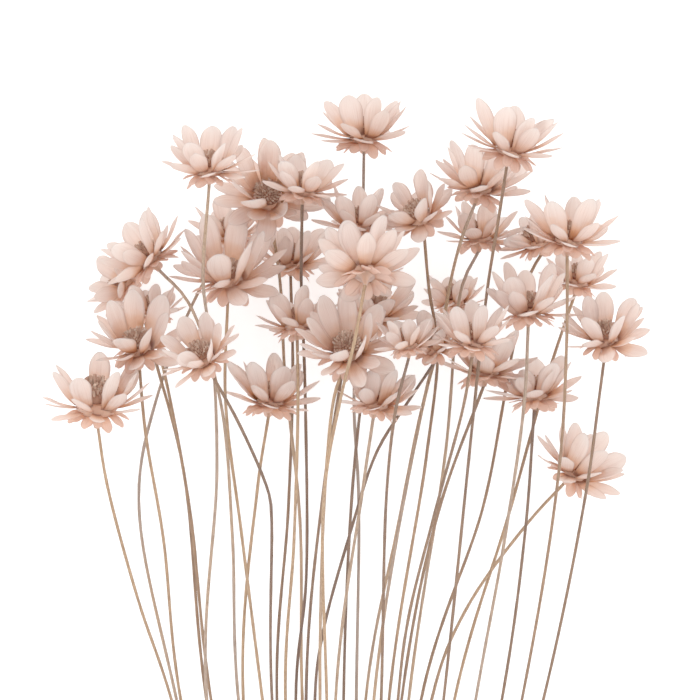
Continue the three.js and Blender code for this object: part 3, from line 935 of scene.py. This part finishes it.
def wound_way():
    """The twine's way: up one end, round the stems, and down the other end."""
    radius = tie_hole + twine / 2
    half = twine * (twine_turns - 1) / 2
    turns = []
    for i in range(turn_steps * twine_turns + 1):
        angle = pi / 2 - tau * i / turn_steps
        y = tie_y + half * (2 * i / (turn_steps * twine_turns) - 1)
        z = max(tie_height + radius * sin(angle), twine / 2)
        turns.append(Vector((radius * cos(angle), y, z)))
    ends = []
    for path in tie_ends:
        end = smooth_way([Vector((x, tie_y + y, z)) for x, y, z in path], end_step)
        for point in end:
            point.z = max(point.z, twine / 2)
        ends.append(end)
    return [*reversed(ends[0]), *turns, *ends[1]]


def knot_way():
    """Two small turns over the crossing of the twine's ends."""
    steps = turn_steps // 2
    points = []
    for i in range(knot["turns"] * steps + 1):
        angle = tau * i / steps
        x = knot["length"] * (i / steps / knot["turns"] - 0.5)
        y = tie_y + knot["width"] * cos(angle)
        z = knot["z"] + knot["height"] * sin(angle)
        points.append(Vector((x, y, z)))
    return points


def make_tie():
    """Twine of two strands, wound, knotted on top and frayed at its ends."""
    pieces = []
    for way in (wound_way(), knot_way()):
        for strand in twisted(way, strand_radius - strand_sink, strand_twist):
            pieces.append(make_tube("strand", strand, [strand_radius] * len(strand), roundness=1))
    draw = random_from(seeds["fray"])
    for path in tie_ends:
        tip = Vector(path[-1]) + Vector((0, tie_y, 0))
        along = (Vector(path[-1]) - Vector(path[-2])).normalized()
        for _ in range(fray_hairs):
            aside = Vector((draw(), draw(), hair_lift * (1 + draw())))
            hair = [tip + forward * along + outward * aside for forward, outward in hair_reaches]
            pieces.append(make_tube("hair", hair, hair_radii, roundness=0))
    tie = join(pieces, "twine")
    tie.data.materials.append(twine_look())
    smooth(tie)
    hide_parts("tie")
    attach(tie, "root")


def make_floor():
    """A wide plain floor, just under the bunch."""
    bpy.ops.mesh.primitive_plane_add(size=floor_size, location=(0, 0, -floor_drop * mm))
    floor = bpy.context.object
    floor.name = "floor"
    floor.data.materials.append(floor_look())


def add_light(name, place, size, power, target):
    """A soft square lamp that shines on the target."""
    bpy.ops.object.light_add(type="AREA", location=place)
    light = bpy.context.object
    light.name = name
    light.data.size = size
    light.data.energy = power
    light.rotation_euler = (Vector(target) - Vector(place)).to_track_quat("-Z", "Y").to_euler()
    light.visible_camera = False


def light_scene():
    """Even daylight from all round, with two soft lamps."""
    world = bpy.data.worlds.new("daylight")
    bpy.context.scene.world = world
    world.use_nodes = True
    backdrop = world.node_tree.nodes["Background"]
    backdrop.inputs["Color"].default_value = (1, 1, 1, 1)
    backdrop.inputs["Strength"].default_value = daylight
    middle = zero + Vector(lit_middle) * mm
    for name, (place, size, power) in lamps.items():
        add_light(name, middle + Vector(place), size, power, middle)
    bpy.context.scene.view_settings.view_transform = "Standard"
    bpy.context.scene.view_settings.gamma = picture_gamma


def add_camera():
    """Looks straight down. The photo's lower edge is at y = 0, and its width is 175 mm of the bunch."""
    middle = zero + Vector((0, view_width / 2, view_height)) * mm
    bpy.ops.object.camera_add(location=middle + Vector((0, 0, view_distance * mm)), rotation=(0, 0, 0))
    camera = bpy.context.object
    camera.data.lens = camera.data.sensor_width * view_distance / view_width
    camera.data.clip_end = view_limit
    bpy.context.scene.camera = camera


patterns = {form: model_petal(form) for form in petal_forms}
shapes = {form: [point.co.copy() for point in pattern.data.vertices] for form, pattern in patterns.items()}

draw = random_from(seeds["bunch"])
heads = [place_flower(number, row) for number, row in enumerate(flowers, 1)]
for flower in heads:
    flower["petals"] = draw_petals(flower, whorls, draw)
    if flower["number"] in resting:
        flower["base"].z = 0
        lowest = min(point.z for petal in flower["petals"]
                     for point in petal_points(flower, petal, shapes[petal["whorl"]["form"]]))
        flower["base"].z = surface_gap - lowest
    flower["petals"] += draw_petals(flower, filling, random_from(seeds["filling"] + flower["number"]))

in_order = sorted(heads, key=lambda flower: flower["stem"][0][0])
stems = make_stems(list(zip(in_order[::2], in_order[1::2])), draw)
make_heads(heads, stems, patterns, shapes)
make_tie()
make_floor()
light_scene()
add_camera()
